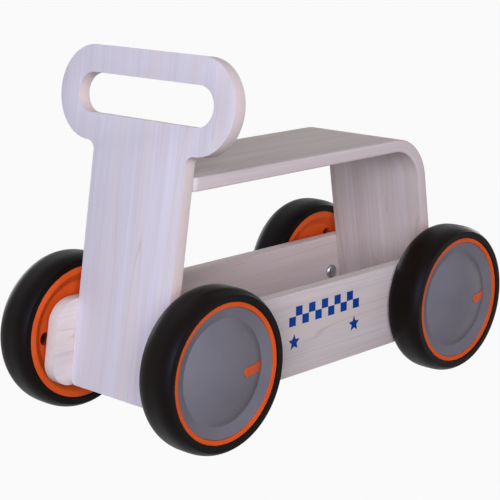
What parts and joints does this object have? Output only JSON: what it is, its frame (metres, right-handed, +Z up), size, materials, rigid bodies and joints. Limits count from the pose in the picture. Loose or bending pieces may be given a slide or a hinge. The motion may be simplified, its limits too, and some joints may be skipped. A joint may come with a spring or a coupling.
{
  "type": "wooden baby walker",
  "caption": "Wooden ride-on push walker: a leaning handle board with a grip slot, a bent seat arch over an open box, and wheels with domed hub caps.",
  "frame": {"origin": "on the floor under the middle of the wheelbase and of the width", "axes": "+X forwards, from the handle board to the bent end of the seat; +Y to the left; +Z up"},
  "size_m": [0.5874, 0.289, 0.414],
  "materials": {
    "birch": "whitewashed, satin",
    "dowel_wood": "plain beech",
    "tyre_black": "satin rubber",
    "rim_orange": "satin moulded",
    "cap_grey": "satin moulded",
    "nylon": "natural nylon",
    "steel": "zinc plated"
  },
  "bodies": {
    "frame": {"handle_board": "birch", "seat_arch": "birch", "side_board_left": "birch", "side_board_right": "birch", "box_floor": "birch", "handle_screw_left_low": "steel", "handle_screw_left_high": "steel", "handle_screw_right_low": "steel", "handle_screw_right_high": "steel", "arch_screw_left_low": "steel", "arch_screw_left_high": "steel", "arch_screw_right_low": "steel", "arch_screw_right_high": "steel", "seat_dowel_1": "dowel_wood", "seat_dowel_2": "dowel_wood", "seat_dowel_3": "dowel_wood", "rear_left_axle_bolt": "steel", "rear_left_spacer_washer": "steel", "rear_left_axle_retainer": "steel", "rear_right_axle_bolt": "steel", "rear_right_spacer_washer": "steel", "rear_right_axle_retainer": "steel", "front_left_axle_bolt": "steel", "front_left_spacer_washer": "steel", "front_left_axle_retainer": "steel", "front_right_axle_bolt": "steel", "front_right_spacer_washer": "steel", "front_right_axle_retainer": "steel"},
    "rear_left_wheel": {"rear_left_tyre": "tyre_black", "rear_left_rim": "rim_orange", "rear_left_hub_cap": "cap_grey", "rear_left_cap_marker": "rim_orange", "rear_left_inner_bush": "nylon", "rear_left_outer_bush": "nylon"},
    "rear_right_wheel": {"rear_right_tyre": "tyre_black", "rear_right_rim": "rim_orange", "rear_right_hub_cap": "cap_grey", "rear_right_cap_marker": "rim_orange", "rear_right_inner_bush": "nylon", "rear_right_outer_bush": "nylon"},
    "front_left_wheel": {"front_left_tyre": "tyre_black", "front_left_rim": "rim_orange", "front_left_hub_cap": "cap_grey", "front_left_cap_marker": "rim_orange", "front_left_inner_bush": "nylon", "front_left_outer_bush": "nylon"},
    "front_right_wheel": {"front_right_tyre": "tyre_black", "front_right_rim": "rim_orange", "front_right_hub_cap": "cap_grey", "front_right_cap_marker": "rim_orange", "front_right_inner_bush": "nylon", "front_right_outer_bush": "nylon"}
  },
  "joints": [
    {"name": "rear_left_spin", "type": "hinge", "parent": "frame", "child": "rear_left_wheel", "pos_m": [-0.2037, 0.11355, 0.09], "axis": [0, 1, 0], "continuous": true},
    {"name": "rear_right_spin", "type": "hinge", "parent": "frame", "child": "rear_right_wheel", "pos_m": [-0.2037, -0.11355, 0.09], "axis": [0, 1, 0], "continuous": true},
    {"name": "front_left_spin", "type": "hinge", "parent": "frame", "child": "front_left_wheel", "pos_m": [0.2037, 0.11355, 0.09], "axis": [0, 1, 0], "continuous": true},
    {"name": "front_right_spin", "type": "hinge", "parent": "frame", "child": "front_right_wheel", "pos_m": [0.2037, -0.11355, 0.09], "axis": [0, 1, 0], "continuous": true}
  ]
}
